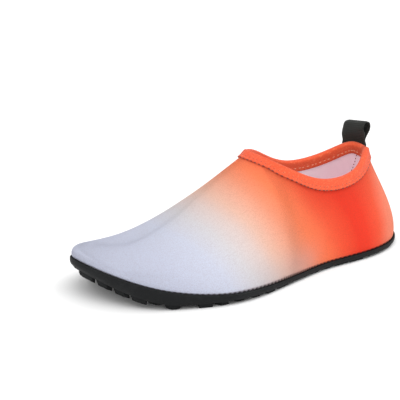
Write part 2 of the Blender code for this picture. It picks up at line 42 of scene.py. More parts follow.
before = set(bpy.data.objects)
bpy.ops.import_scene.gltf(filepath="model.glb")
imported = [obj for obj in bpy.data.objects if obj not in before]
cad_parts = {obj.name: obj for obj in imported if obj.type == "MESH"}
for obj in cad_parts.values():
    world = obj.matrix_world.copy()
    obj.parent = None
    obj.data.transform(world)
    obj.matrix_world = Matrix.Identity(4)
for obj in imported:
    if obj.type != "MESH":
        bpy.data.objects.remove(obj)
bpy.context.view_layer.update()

# Sections of the last. Places along and across are shares of the length and the ball's width. Heights above
# the sole's edge are shares of the instep's height for the vamp and of the collar's for the quarter.
VAMP_COLUMNS = (
    "name", "at", "outer", "inner", "top_at", "ridge", "height", "rise", "swell", "reach", "fall",
)
VAMP_ROWS = (
    ("toe tip", 1.000, -0.180, -0.180, 0.945, -0.200, 0.185, 0.75, 0.020, 0.80, 0.00),
    ("toe", 0.975, 0.050, -0.320, 0.922, -0.180, 0.192, 0.75, 0.020, 0.75, 0.00),
    ("toe joints", 0.900, 0.290, -0.460, 0.870, -0.140, 0.223, 0.75, 0.020, 0.70, 0.00),
    ("forefoot", 0.800, 0.425, -0.485, 0.790, -0.105, 0.335, 0.70, 0.020, 0.62, 0.00),
    ("ball", 0.690, 0.520, -0.440, 0.690, -0.080, 0.526, 0.70, 0.015, 0.56, 0.00),
    ("waist", 0.580, 0.520, -0.345, 0.585, -0.075, 0.750, 0.65, 0.015, 0.56, 0.00),
    ("throat", 0.480, 0.460, -0.275, 0.455, -0.080, 1.006, 0.62, 0.015, 0.52, 0.00),
)
QUARTER_COLUMNS = (
    "name", "at", "outer", "inner", "top_at", "top_outer", "top_inner", "high_outer", "high_inner",
    "rise", "swell", "reach", "fall",
)
QUARTER_ROWS = (
    ("throat side", 0.435, 0.430, -0.260, 0.434, 0.107, -0.179, 1.128, 1.121, 0.60, 0.016, 0.48, 0.14),
    ("quarter front", 0.385, 0.398, -0.256, 0.386, 0.223, -0.227, 1.025, 1.041, 0.57, 0.020, 0.30, 0.17),
    ("quarter dip", 0.290, 0.355, -0.290, 0.284, 0.247, -0.242, 0.861, 0.849, 0.46, 0.030, 0.25, 0.34),
    ("heel side", 0.170, 0.345, -0.340, 0.162, 0.203, -0.193, 0.870, 0.882, 0.42, 0.035, 0.05, 0.30),
    ("heel corner", 0.050, 0.245, -0.245, 0.097, 0.087, -0.093, 0.983, 0.993, 0.32, 0.040, 0.10, 0.20),
    ("heel back", 0.000, 0.000, 0.000, 0.075, 0.000, 0.000, 0.960, 0.960, 0.32, 0.033, 0.06, 0.25),
)
THROAT = len(VAMP_ROWS) - 1
HEEL_BACK = THROAT + len(QUARTER_ROWS)
ROW_COUNT = 2 * HEEL_BACK
INNER_THROAT = ROW_COUNT - THROAT

# The loop's two strands above the rim: height as a share of its rise, places as shares of its eye.
LOOP_COLUMNS = ("rise", "front", "rear")
LOOP_ROWS = (
    (0.20, -0.10, 0.10),
    (0.45, -0.40, 0.50),
    (0.70, -0.50, 0.70),
    (0.88, -0.35, 0.60),
    (0.98, -0.05, 0.25),
)

# Round pads of the tread: place along and across, radius as a share of the ball's width, number of studs.
PAD_COLUMNS = ("name", "at", "side", "radius", "studs")
PAD_ROWS = (
    ("big toe ball", 0.735, -0.255, 0.150, 6),
    ("inner ball", 0.590, -0.130, 0.104, 6),
    ("outer ball", 0.655, 0.245, 0.104, 6),
    ("arch front", 0.505, -0.010, 0.062, 0),
    ("arch middle", 0.415, 0.035, 0.062, 0),
    ("arch rear", 0.325, 0.035, 0.062, 0),
)

# The bend line of the forefoot has no lugs: place across, and its front and back edge there, as shares.
FLEX_ROWS = (
    (-0.50, 0.905, 0.855),
    (-0.20, 0.885, 0.800),
    (0.05, 0.860, 0.770),
    (0.25, 0.815, 0.765),
    (0.55, 0.790, 0.745),
)

# Nor has the smooth shank: place along, and its outer edge there, as shares.
SHANK_ROWS = (
    (0.700, -0.480),
    (0.640, -0.330),
    (0.560, -0.225),
    (0.460, -0.165),
    (0.360, -0.130),
    (0.260, -0.160),
    (0.180, -0.330),
)

# The dye of the knit, heel to toe: share of the length at the sole's edge and colour. Higher up the same
# colour lies further forward, by DYE_LEAN of the height, except at the heel. The red of the stops from
# 0.235 to 0.320 is raised as painted light, partly to offset a shade on the side of the quarter.
DYE_LEAN = 0.6
DYE_AND_PAINTED_LIGHT_STOPS = (
    (0.030, (0.82, 0.250, 0.150)),
    (0.075, (0.82, 0.210, 0.125)),
    (0.115, (0.82, 0.098, 0.044)),
    (0.160, (0.80, 0.046, 0.020)),
    (0.190, (0.78, 0.042, 0.018)),
    # Painted light: the red of this stop and the next two is raised, partly to offset a shade on the
    # quarter.
    (0.235, (0.83, 0.092, 0.038)),
    (0.275, (0.87, 0.158, 0.065)),
    (0.320, (0.85, 0.202, 0.088)),
    (0.370, (0.78, 0.270, 0.155)),
    (0.415, (0.76, 0.360, 0.250)),
    (0.465, (0.72, 0.455, 0.360)),
    (0.510, (0.66, 0.535, 0.500)),
    (0.570, (0.60, 0.580, 0.600)),
    (0.650, (0.550, 0.582, 0.690)),
    (0.760, (0.520, 0.552, 0.672)),
)

# Second colours that the finishes mix into the panel's colours, how strongly the lining glows, and pitches
# of the patterns. The low waist's colour is painted shade, the feather's a painted shadow line with dots,
# and the lining's glow is painted light.
GRAIN_SHADE = (0.20, 0.04, 0.03)
LOW_WAIST_PAINTED_SHADE = (0.33, 0.345, 0.38)
FEATHER_PAINTED_SHADOW_AND_DOTS = (0.06, 0.035, 0.04)
LINING_MOTTLE = (0.76, 0.62, 0.68)
LINING_GLOW = 0.19
TAPE_MOTTLE = (0.76, 0.12, 0.045)
TAPE_FLECK = (0.90, 0.26, 0.11)
WEBBING_FIBRE = (0.020, 0.021, 0.020)
RUBBER_WORN = (0.018, 0.019, 0.020)
INSOLE_FIBRE = (0.45, 0.41, 0.44)
FEATHER_PITCH = 0.0032
TAPE_RIB, TAPE_COURSE = 0.0007, 0.0006
WEBBING_RIB = 0.0013
INSOLE_WEAVE = 0.0012

# Seam of the loop inside the heel: row numbers round the foot of its two lines, and stitches in each.
HEEL_SEAMS = (11.6, 12.5)
HEEL_SEAM_STITCHES = 6

# Points of the skin nearer the ridge's front end than this are joined into one, because the small faces
# there would fold over each other.
TIP_WELD = 0.0026

# How finely the pieces are modelled: steps for each row of the tables, or along the whole piece.
SKIN_STEPS = 12
SOLE_STEPS = 16
BINDING_STEPS = 320
LOOP_STEPS, LOOP_CELLS = 260, 12

# Length of the sole's edge as a share of the last's length, and studs of the small pads across flats.
GIRTH = 2.3
SMALL_STUD = 0.0043

# Lights: name, place, size of the lamp and power.
LIGHT_ROWS = (
    ("key", (0.25, 0.75, 1.30), 1.3, 11.5),
    ("fill", (1.2, 0.3, 0.8), 1.4, 4.5),
    ("back", (-0.9, 0.3, 0.9), 0.9, 4.0),
)
WORLD_STRENGTH = 0.85


def length(name, default, description):
    return FloatProperty(
        name=name, description=description, default=default, min=0.0, unit="LENGTH", precision=4
    )


def share(name, default, description):
    return FloatProperty(name=name, description=description, default=default, min=0.0, max=1.0)


def colour(name, default, description):
    return FloatVectorProperty(
        name=name, description=description, default=default, subtype="COLOR", size=3, min=0.0, max=1.0
    )


class LastSizes(bpy.types.PropertyGroup):
    """Sizes of the last and the sole."""

    length: length("Length", 0.250, "Heel to toe along the last")
    ball_width: length("Ball width", 0.100, "Width that the outline's shares are taken of")
    instep_height: length("Instep height", 0.0745, "Throat of the vamp above the sole's edge")
    collar_height: length("Collar height", 0.0645, "Rim at the heel above the sole's edge")
    toe_spring: length("Toe spring", 0.0195, "Lift of the sole's edge at the toe")
    toe_spring_start: share("Toe spring start", 0.67, "Where the sole's edge begins to lift")
    toe_lift: length("Toe lift", 0.0175, "Lift of the sole's underside at the toe")
    toe_lift_start: share("Toe lift start", 0.80, "Where the sole's underside begins to lift")
    arch_lift: length("Arch lift", 0.0025, "Lift of the inner side between heel and ball")
    heel_side: length("Heel side", 0.0036, "Height of the sole's side at the heel")
    ball_side: length("Ball side", 0.0052, "Height of the sole's side at the ball")
    heel_tread: length("Heel tread", 0.0018, "Depth of the lugs at the heel")
    ball_tread: length("Ball tread", 0.0034, "Depth of the lugs at the ball")
    gap: length("Gap", 0.0003, "Gap between neighbouring pieces")


class UpperSizes(bpy.types.PropertyGroup):
    """Sizes of the upper, its binding and the pull loop."""

    wall: length("Wall", 0.0018, "Thickness of the cloth with its lining")
    binding_width: length("Binding width", 0.0068, "Depth of each leg of the binding")
    binding_wall: length("Binding thickness", 0.0010, "Thickness of the binding tape")
    binding_gap: length("Binding gap", 0.0005, "Room between the binding and the cloth")
    stitch_pitch: length("Stitch pitch", 0.0032, "Distance from stitch to stitch")
    loop_tilt: share("Loop tilt", 0.16, "Fall of the loop's top toward the inner side, per metre of width")
    loop_pucker: share("Loop pucker", 0.85, "Share of the webbing's width where it is sewn to the rim")
    loop_width: length("Loop width", 0.0185, "Width of the webbing")
    loop_wall: length("Loop thickness", 0.0011, "Thickness of the webbing")
    loop_tab: length("Loop tab", 0.0130, "Length of webbing sewn below the rim")
    loop_rise: length("Loop rise", 0.0155, "Height of the loop above the rim")
    loop_eye: length("Loop eye", 0.0055, "Depth of the loop's eye")
    loop_inward: length("Loop inward", 0.0100, "How far inward of the heel's back the loop is sewn")
    loop_turn: FloatProperty(
        name="Loop turn",
        description="Twist of the loop above the rim",
        default=math.radians(-30),
        subtype="ANGLE",
    )
    knit_gauge: length("Knit gauge", 0.00055, "Width of one wale of the knit")


class SoleSizes(bpy.types.PropertyGroup):
    """Sizes of the rubber outsole and the insole."""

    lip_thickness: length("Lip thickness", 0.0012, "Thickness of the lip round the upper")
    lip_depth: length("Lip depth", 0.0015, "Depth of the seat below the lip")
    undercut: length("Undercut", 0.0009, "How far the side slopes in to the underside")
    toe_undercut: length("Toe undercut", 0.0032, "The same at the toe")
    lug_pitch: length("Lug pitch", 0.0130, "Distance from lug to lug")
    lug_across: length("Lug width", 0.0098, "Lugs across their flats")
    lug_margin: length("Lug margin", 0.0014, "Room between the lugs and the sole's border")
    lug_bite: length("Lug bite", 0.0010, "How far a lug reaches into the sole")
    lug_bevel: length("Lug bevel", 0.0005, "Rounding of the lugs' edges")
    pad_ring: length("Pad ring", 0.0026, "Width of the ring round each pad")
    insole_thickness: length("Insole thickness", 0.0020, "Thickness of the foam insole")
    insole_margin: length("Insole margin", 0.0004, "Room between the insole and the wall")


class ShoeColours(bpy.types.PropertyGroup):
    """Colours of the finishes."""

    lining: colour("Lining", (0.95, 0.86, 0.90), "Lining of the upper")
    lining_heel: colour("Heel lining", (0.94, 0.70, 0.76), "Lining at the heel, where the dye shows")
    binding: colour("Binding", (0.73, 0.084, 0.028), "Binding tape")
    thread_dark: colour("Edge thread", (0.17, 0.016, 0.008), "Thread along the binding's edge")
    thread_middle: colour("Middle thread", (0.42, 0.045, 0.018), "Thread along the middle of the binding")
    thread_light: colour("Inner thread", (0.90, 0.42, 0.27), "Thread along the binding inside the collar")
    webbing: colour("Webbing", (0.009, 0.010, 0.008), "Pull loop")
    rubber: colour("Rubber", (0.007, 0.0075, 0.008), "Outsole")
    insole: colour("Insole", (0.62, 0.58, 0.60), "Insole cover")


def named(columns, rows):
    return [dict(zip(columns, row)) for row in rows]


def blend(start, end, value):
    """Smooth step from 0 at start to 1 at end."""
    t = np.clip((value - start) / (end - start), 0, 1)
    return t * t * (3 - 2 * t)


def spline(rows, closed):
    """Cubic spline through rows at 0, 1, 2 ... as a function of the row number."""
    y = np.asarray(rows, float)
    count = len(y)
    matrix = np.eye(count)
    right = np.zeros_like(y)
    for i in range(count):
        if not closed and i in (0, count - 1):
            continue
        before, after = (i - 1) % count, (i + 1) % count
        matrix[i] = 0
        matrix[i, i] = 4
        matrix[i, before] += 1
        matrix[i, after] += 1
        right[i] = 6 * (y[after] - 2 * y[i] + y[before])
    bend = np.linalg.solve(matrix, right)

    def curve(number):
        number = np.asarray(number, float)
        if closed:
            number = number % count
            low = np.floor(number).astype(int) % count
        else:
            low = np.clip(np.floor(number).astype(int), 0, count - 2)
        high = (low + 1) % count
        b = (number - low)[..., None]
        a = 1 - b
        return a * y[low] + b * y[high] + ((a**3 - a) * bend[low] + (b**3 - b) * bend[high]) / 6

    return curve


def unit(vectors):
    return vectors / np.linalg.norm(vectors, axis=-1, keepdims=True)


def run_lengths(points):
    """Distance along a row of points from its first."""
    return np.concatenate(((0.0,), np.cumsum(np.linalg.norm(np.diff(points, axis=0), axis=1))))


def round_collar(count):
    """Row numbers of places spread evenly round the collar."""
    return THROAT + np.arange(count) / count * (INNER_THROAT - THROAT)


class Last:
    """The shoe's shape as functions of a row number round the foot and a share up the wall."""

    def __init__(self, sizes, sole):
        self.sizes, self.sole = sizes, sole
        vamp, quarter = named(VAMP_COLUMNS, VAMP_ROWS), named(QUARTER_COLUMNS, QUARTER_ROWS)
        outer = [(r["at"], r["outer"]) for r in vamp[1:] + quarter[:-1]]
        inner = [(r["at"], r["inner"]) for r in vamp[1:] + quarter[:-1]]
        toe, heel = (vamp[0]["at"], vamp[0]["outer"]), (quarter[-1]["at"], 0.0)
        self.plan = spline([toe] + outer + [heel] + inner[::-1], closed=True)
        shape = [(r["rise"], r["swell"], r["reach"], r["fall"]) for r in vamp + quarter]
        self.shape = spline(shape + shape[-2:0:-1], closed=True)
        self.ridge = spline([(r["top_at"], r["ridge"], r["height"]) for r in vamp], closed=False)
        outer_rim = [(r["top_at"], r["top_outer"], r["high_outer"]) for r in quarter]
        inner_rim = [(r["top_at"], r["top_inner"], r["high_inner"]) for r in quarter]
        top = vamp[-1]
        throat = (top["top_at"], top["ridge"], top["height"] * sizes.instep_height / sizes.collar_height)
        self.rim = spline([throat] + outer_rim + inner_rim[-2::-1], closed=True)
        corners = self.foot_line(np.arange(ROW_COUNT * 4) / 4)
        corners += self.outward(np.arange(ROW_COUNT * 4) / 4) * (sizes.gap + sole.lip_thickness)
        middle = (corners.min(axis=0) + corners.max(axis=0)) / 2
        self.centre = np.array((middle[0], middle[1], 0.0))

    def curl(self, x, start, lift):
        return lift * np.clip((x / self.sizes.length - start) / (1 - start), 0, None) ** 2

    def arch_height(self, x, y):
        along = np.exp(-(((x / self.sizes.length - 0.43) / 0.10) ** 2))
        return self.sizes.arch_lift * along * blend(0.05, -0.25, y / self.sizes.ball_width)

    def toward_ball(self, x):
        """0 at the heel and 1 from the ball on."""
        return blend(0.40, 0.75, x / self.sizes.length)

    def tread_depth(self, x):
        s = self.sizes
        return s.heel_tread + (s.ball_tread - s.heel_tread) * self.toward_ball(x)

    def edge_height(self, x, y):
        """Top edge of the sole above the ground, where the upper comes out of it."""
        s = self.sizes
        low = self.tread_depth(x) + (s.heel_side + (s.ball_side - s.heel_side) * self.toward_ball(x))
        return low + self.curl(x, s.toe_spring_start, s.toe_spring) + self.arch_height(x, y)

    def floor_height(self, x, y):
        """Underside of the sole between its lugs."""
        s = self.sizes
        return self.tread_depth(x) + self.curl(x, s.toe_lift_start, s.toe_lift) + self.arch_height(x, y)

    def ground_height(self, x, y):
        """Under face of a lug."""
        return self.floor_height(x, y) - self.tread_depth(x)

    def seat_height(self, x, y):
        """Top of the sole's plate, inside its lip."""
        return self.edge_height(x, y) - self.sole.lip_depth

    def outline(self, number):
        return self.plan(number) * (self.sizes.length, self.sizes.ball_width)

    def outward(self, number):
        """Unit normal of the plan outline, pointing away from the foot."""
        tangent = unit(self.outline(number + 0.01) - self.outline(number - 0.01))
        return np.column_stack((tangent[:, 1], -tangent[:, 0], np.zeros(len(tangent))))

    def foot_line(self, number):
        plan = self.outline(number)
        return np.column_stack((plan, self.edge_height(plan[:, 0], plan[:, 1])))

    def above_edge(self, place):
        place[:, 2] += self.edge_height(place[:, 0], 0 * place[:, 0])
        return place

    def top_line(self, number):
        """Where each wall profile ends: on the vamp's ridge or on the collar's rim."""
        s = self.sizes
        vamp = np.minimum(number, ROW_COUNT - number)
        ridge = self.ridge(np.clip(vamp, 0, THROAT)) * (s.length, s.ball_width, s.instep_height)
        ridge = self.above_edge(ridge)
        rim = self.above_edge(self.rim(number - THROAT) * (s.length, s.ball_width, s.collar_height))
        return np.where((vamp <= THROAT)[:, None], ridge, rim)

    def along_ridge(self, number, across):
        """Rise of the vamp's ridge over the part of a level vector that runs along it. With it the two
        sides of the vamp share a tangent plane at the ridge, and past the throat it fades out."""
        vamp = np.minimum(number, ROW_COUNT - number)
        place, step = np.minimum(vamp, THROAT), 0.01
        run = self.top_line(np.minimum(place + step, THROAT)) - self.top_line(np.maximum(place - step, 0))
        part = (across[:, :2] * run[:, :2]).sum(axis=1) / (run[:, :2] ** 2).sum(axis=1)
        return part * run[:, 2] * (1 - blend(THROAT, THROAT + 2, vamp))

    def wall(self, number, share):
        """Outer skin of the upper at each row number and share up the wall."""
        foot, top = self.foot_line(number), self.top_line(number)
        rise, swell, reach, fall = self.shape(number).T
        across, up = (top - foot) * (1, 1, 0), (top - foot) * (0, 0, 1)
        low = foot + up * rise[:, None] + self.outward(number) * swell[:, None] * self.sizes.ball_width
        across[:, 2] = self.along_ridge(number, across)
        high = top - across * reach[:, None] - up * fall[:, None]
        v = share[:, None]
        return (1 - v) ** 3 * foot + 3 * v * (1 - v) ** 2 * low + 3 * v**2 * (1 - v) * high + v**3 * top


def grid(columns, rows, place, scale=(1.0, 1.0)):
    """A mesh grid laid on a surface. place takes shares along both ways; scale is the grid's real size."""
    bm = bmesh.new()
    uv = bm.loops.layers.uv.new("cloth")
    bmesh.ops.create_grid(bm, x_segments=columns, y_segments=rows, size=0.5)
    share = np.array([v.co[:2] for v in bm.verts]) + 0.5
    for face in bm.faces:
        for loop in face.loops:
            across, up = share[loop.vert.index]
            loop[uv].uv = (across * scale[0], up * scale[1])
    for vertex, place_to in zip(bm.verts, place(share[:, 0], share[:, 1])):
        vertex.co = place_to
    return bm


def close(bm, distance=2e-6):
    """Merge seams and poles and turn the faces outwards."""
    bmesh.ops.remove_doubles(bm, verts=bm.verts, dist=distance)
    bmesh.ops.recalc_face_normals(bm, faces=bm.faces)


def join_into(bm, part):
    """Add a part's mesh to another mesh."""
    spare = bpy.data.meshes.new("spare")
    part.to_mesh(spare)
    bm.from_mesh(spare)
    bpy.data.meshes.remove(spare)


def add_piece(name, bm, last, material, *replaced):
    """Link a finished mesh as a piece of the shoe, moved from the last's place to the part's."""
    bmesh.ops.translate(bm, verts=bm.verts, vec=-last.centre)
    mesh = bpy.data.meshes.new(name)
    bm.to_mesh(mesh)
    bm.free()
    mesh.shade_smooth()
    piece = bpy.data.objects.new(name, mesh)
    bpy.context.collection.objects.link(piece)
    mesh.materials.append(material)
    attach(piece, "root")
    if replaced:
        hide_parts(*replaced)
    return piece


def skin_grid(last, columns, rows):
    """The upper's outer skin, where the two sides of the vamp are joined along its ridge."""
    s = last.sizes

    def place(around, up):
        return last.wall(around * ROW_COUNT, 1 - (1 - up) ** 1.3)

    bm = grid(columns, rows, place, (s.length * GIRTH, s.collar_height * 1.4))
    close(bm)
    tip = Vector(last.top_line(np.zeros(1))[0])
    bmesh.ops.pointmerge(bm, verts=[v for v in bm.verts if (v.co - tip).length < TIP_WELD], merge_co=tip)
    bmesh.ops.recalc_face_normals(bm, faces=bm.faces)
    bm.normal_update()
    return bm


class Skin:
    """The upper's outer skin, asked for the nearest place on it and for a smooth normal."""

    def __init__(self, last):
        bm = skin_grid(last, ROW_COUNT * SKIN_STEPS, 40)
        self.tree = BVHTree.FromBMesh(bm)
        self.normals = [v.normal.copy() for v in bm.verts]
        self.near = KDTree(len(bm.verts))
        for i, vertex in enumerate(bm.verts):
            self.near.insert(vertex.co, i)
        self.near.balance()
        bm.free()

    def place(self, point):
        return np.array(self.tree.find_nearest(Vector(point))[0])

    def normal(self, point):
        total = Vector((0, 0, 0))
        for _, index, distance in self.near.find_n(Vector(point), 16):
            total += self.normals[index] / (distance + 0.0008) ** 2
        return np.array(total.normalized())


def rim_frames(last, skin, number):
    """Points round the collar, with the direction away from the cloth and the wall's normal at each."""
    points = last.top_line(number)
    ahead, behind = np.roll(points, -1, axis=0) - points, points - np.roll(points, 1, axis=0)
    tangent = unit(unit(ahead) + unit(behind))
    normal = np.array([skin.normal(p) for p in points])
    away = unit(np.cross(normal, tangent))
    return points, away, unit(np.cross(tangent, away))


def collar_legs(last, skin, number, depths):
    """Places and normals on the outer skin at some depths below the rim, for each row number."""
    points, away, normal = rim_frames(last, skin, number)
    places, normals = np.empty((len(number), len(depths), 3)), np.empty((len(number), len(depths), 3))
    for i, (point, direction, wall) in enumerate(zip(points, away, normal)):
        for k, depth in enumerate(depths):
            places[i, k] = skin.place(point - direction * depth) if depth else point
            normals[i, k] = skin.normal(places[i, k]) if depth else wall
    return places, normals, away


def at_depth(values, depths, depth):
    """One row of a leg at a depth between those it was worked out for."""
    k = int(np.clip(np.searchsorted(depths, depth) - 1, 0, len(depths) - 2))
    t = (depth - depths[k]) / (depths[k + 1] - depths[k])
    return values[:, k] * (1 - t) + values[:, k + 1] * t


class Expr:
    """A shader socket that turns Python arithmetic into Math nodes."""

    def __init__(self, finish, socket):
        self.finish, self.socket = finish, socket

    def math(self, operation, *values):
        return self.finish.node("ShaderNodeMath", {"operation": operation}, dict(enumerate(values)))

    def __add__(self, other):
        return self.math("ADD", self, other)

    def __sub__(self, other):
        return self.math("SUBTRACT", self, other)

    def __rsub__(self, other):
        return self.math("SUBTRACT", other, self)

    def __mul__(self, other):
        return self.math("MULTIPLY", self, other)

    def __truediv__(self, other):
        return self.math("DIVIDE", self, other)

    def __rtruediv__(self, other):
        return self.math("DIVIDE", other, self)

    __radd__ = __add__
    __rmul__ = __mul__

    def sine(self):
        return self.math("SINE", self)

    def step(self, low, high):
        """0 below low and 1 above high, smoothly between."""
        inputs = {"Value": self, "From Min": low, "From Max": high}
        return self.finish.node("ShaderNodeMapRange", {"interpolation_type": "SMOOTHSTEP"}, inputs)


class Finish:
    """A material on its way: a Principled shader and the nodes that feed it."""

    def __init__(self, name, **constants):
        self.material = bpy.data.materials.new(name)
        self.material.use_nodes = True
        self.tree = self.material.node_tree
        self.shader = self.tree.nodes["Principled BSDF"]
        for key, value in constants.items():
            self.shader.inputs[key.replace("_", " ")].default_value = value

    def node(self, kind, settings=None, inputs=None, output=0):
        node = self.tree.nodes.new(kind)
        for key, value in (settings or {}).items():
            if key == "stops":
                self.set_stops(node.color_ramp, value)
            else:
                setattr(node, key, value)
        for key, value in (inputs or {}).items():
            self.feed(node.inputs[key], value)
        return Expr(self, node.outputs[output])

    def set_stops(self, ramp, stops):
        while len(ramp.elements) < len(stops):
            ramp.elements.new(0.5)
        for element, (place, shade) in zip(ramp.elements, stops):
            element.position = place
            element.color = (*shade, 1.0)

    def feed(self, socket, value):
        if isinstance(value, Expr):
            self.tree.links.new(value.socket, socket)
        else:
            socket.default_value = value

    def set(self, key, value):
        self.feed(self.shader.inputs[key], value)

    def mix(self, factor, low, high):
        """Colour mix of two colours or sockets."""
        low, high = (c if isinstance(c, Expr) else (*c, 1.0) for c in (low, high))
        return self.node("ShaderNodeMix", {"data_type": "RGBA"}, {0: factor, 6: low, 7: high}, output=2)

    def place(self):
        """Object coordinates split into x, y and z."""
        at = self.node("ShaderNodeTexCoord", output=3)
        return at, [self.node("ShaderNodeSeparateXYZ", {}, {0: at}, output=k) for k in range(3)]

    def cloth(self):
        """The piece's own map, in metres round and up the piece."""
        at = self.node("ShaderNodeUVMap", {"uv_map": "cloth"})
        return at, [self.node("ShaderNodeSeparateXYZ", {}, {0: at}, output=k) for k in range(2)]

    def noise(self, at, scale, detail=2.0, roughness=0.5):
        inputs = {"Vector": at, "Scale": scale, "Detail": detail, "Roughness": roughness}
        return self.node("ShaderNodeTexNoise", {}, inputs)

    def bump(self, height, distance, strength=1.0, under=None):
        inputs = {"Height": height, "Distance": distance, "Strength": strength}
        if under is not None:
            inputs["Normal"] = under
        return self.node("ShaderNodeBump", {}, inputs)


def knit_height(finish, gauge):
    """Height of a fine warp knit: upright wales crossed by slanted loops."""
    _, (around, up) = finish.cloth()
    wale = (around * (math.tau / gauge)).sine()
    course = (up * (math.tau / (gauge * 0.8)) + wale * 0.9).sine()
    return wale * 0.5 + course * 0.5


def knit_finish(name, gauge):
    finish = Finish(name, Roughness=0.85, Sheen_Weight=0.02, Sheen_Roughness=0.4, Specular_IOR_Level=0.10)
    at, _ = finish.place()
    mottle = finish.noise(at, 900.0, 3.0, 0.6)
    soft = finish.noise(at, 38.0, 2.0)
    weave = knit_height(finish, gauge)
    finish.set("Normal", finish.bump(weave * 0.6 + mottle * 0.8 + soft * 1.2, 0.00016))
    return finish, at, mottle, soft


def upper_finish(sizes, gauge):
    """The printed stretch knit, fading from lavender grey at the toe to red orange at the heel. Painted
    shade darkens the low waist, a painted shadow line with dots runs along the foot of the upper, and the
    red on the side of the quarter is raised as painted light.
    """
    finish, at, mottle, soft = knit_finish("upper_knit", gauge)
    _, (x, _, z) = finish.place()
    along = x / sizes.length + 0.5
    lean = along.step(0.08, 0.40) * DYE_LEAN
    wander = (soft - 0.5) * 0.02 + (mottle - 0.5) * 0.012
    at_dye = along - z * lean / sizes.length + wander
    ramp = finish.node("ShaderNodeValToRGB", {"stops": DYE_AND_PAINTED_LIGHT_STOPS}, {0: at_dye})
    grain = finish.noise(at, 1300.0, 2.0, 0.7)
    dye_and_painted_light = finish.mix(grain.step(0.36, 0.70) * 0.17, ramp, GRAIN_SHADE)
    _, (around, up) = finish.cloth()
    # Painted shadow: a dark line along the foot of the upper where it meets the sole, darker in evenly
    # spaced dots.
    shadow_line_and_dots = (around * (math.tau / FEATHER_PITCH)).sine() * 0.3 + 0.6
    # Painted shade: the waist is mixed darker and greyer low down, near the sole.
    waist = along.step(0.30, 0.42) * along.step(0.66, 0.54)
    dye_and_painted_light = finish.mix(z.step(0.032, 0.008) * waist * 0.30, dye_and_painted_light, LOW_WAIST_PAINTED_SHADE)
    finish.set("Base Color", finish.mix(up.step(0.0014, 0.0004) * shadow_line_and_dots, dye_and_painted_light, FEATHER_PAINTED_SHADOW_AND_DOTS))
    return finish.material


def lining_finish(sizes, colours, gauge):
    finish, _, mottle, _ = knit_finish("upper_lining", gauge * 1.3)
    _, (x, _, _) = finish.place()
    heel = ((x + sizes.length / 2) / sizes.length).step(0.34, 0.10)
    base = finish.mix(heel, colours.lining, colours.lining_heel)
    finish.set("Base Color", finish.mix(mottle * 0.12, base, LINING_MOTTLE))
    # Painted light: the lining glows a little in its own colour, brightening the shaded inside of the
    # collar.
    finish.set("Emission Color", base)
    finish.set("Emission Strength", LINING_GLOW)
    return finish.material


def binding_finish(colours):
    """Knitted tape with a fine rib along it."""
    finish = Finish("collar_binding", Roughness=0.8, Sheen_Weight=0.1, Specular_IOR_Level=0.25)
    at, _ = finish.place()
    mottle = finish.noise(at, 520.0, 3.0, 0.6)
    _, (around, up) = finish.cloth()
    rib = (around * (math.tau / TAPE_RIB)).sine() * 0.5 + (up * (math.tau / TAPE_COURSE)).sine() * 0.5
    finish.set("Normal", finish.bump(rib * 0.6 + mottle, 0.0002))
    fleck = finish.noise(at, 950.0, 2.0, 0.7).step(0.50, 0.66)
    taped = finish.mix(mottle * 0.25, colours.binding, TAPE_MOTTLE)
    finish.set("Base Color", finish.mix(fleck * 0.35, taped, TAPE_FLECK))
    return finish.material


def thread_finish(name, shade):
    finish = Finish(name, Roughness=0.6, Sheen_Weight=0.2)
    at, _ = finish.place()
    twist = finish.noise(at, 2600.0, 1.0)
    finish.set("Base Color", finish.mix(twist * 0.4, shade, tuple(c * 0.55 for c in shade)))
    finish.set("Normal", finish.bump(twist, 0.0001))
    return finish.material


def webbing_finish(colours):
    finish = Finish("pull_loop", Roughness=0.65, Sheen_Weight=0.10, Specular_IOR_Level=0.25)
    at, _ = finish.place()
    fibre = finish.noise(at, 1500.0, 2.0)
    finish.set("Base Color", finish.mix(fibre * 0.4, colours.webbing, WEBBING_FIBRE))
    finish.set("Normal", finish.bump(fibre, 0.00012))
    return finish.material


def rubber_finish(colours):
    """Moulded black rubber, a little grey and shinier where it has rubbed."""
    finish = Finish("outsole_rubber", Specular_IOR_Level=0.14)
    at, _ = finish.place()
    fine = finish.noise(at, 900.0, 3.0, 0.6)
    patch = finish.noise(at, 55.0, 3.0, 0.6)
    worn = (patch * 0.6 + fine * 0.4).step(0.46, 0.66)
    finish.set("Base Color", finish.mix(worn * 0.6, colours.rubber, RUBBER_WORN))
    finish.set("Roughness", 0.50 + patch * 0.20)
    finish.set("Normal", finish.bump(fine, 0.00018))
    return finish.material


def insole_finish(colours):
    finish = Finish("insole_cover", Roughness=0.85, Sheen_Weight=0.3)
    at, (x, y, _) = finish.place()
    weave = (x * (math.tau / INSOLE_WEAVE)).sine() * (y * (math.tau / INSOLE_WEAVE)).sine()
    fine = finish.noise(at, 700.0, 2.0)
    finish.set("Base Color", finish.mix(fine * 0.4, colours.insole, INSOLE_FIBRE))
    finish.set("Normal", finish.bump(weave * 0.5 + fine, 0.0002))
    return finish.material


def settings(context):
    scene = context.scene
    return scene.shoe_last, scene.shoe_upper, scene.shoe_sole, scene.shoe_colours


def last_of(context):
    return Last(context.scene.shoe_last, context.scene.shoe_sole)


class SHOE_OT_upper(bpy.types.Operator):
    """Model the hollow knit upper with its lining"""

    bl_idname = "shoe.upper"
    bl_label = "Upper"

    def execute(self, context):
        sizes, upper, _, colours = settings(context)
        last = last_of(context)
        bm = skin_grid(last, ROW_COUNT * SKIN_STEPS, 64)
        piece = add_piece("upper_knit", bm, last, upper_finish(sizes, upper.knit_gauge), "upper")
        piece.data.materials.append(lining_finish(sizes, colours, upper.knit_gauge))
        wall = piece.modifiers.new("wall", "SOLIDIFY")
        wall.thickness = upper.wall
        wall.offset = -1.0
        wall.material_offset = 1
        wall.use_rim = True
        return {"FINISHED"}


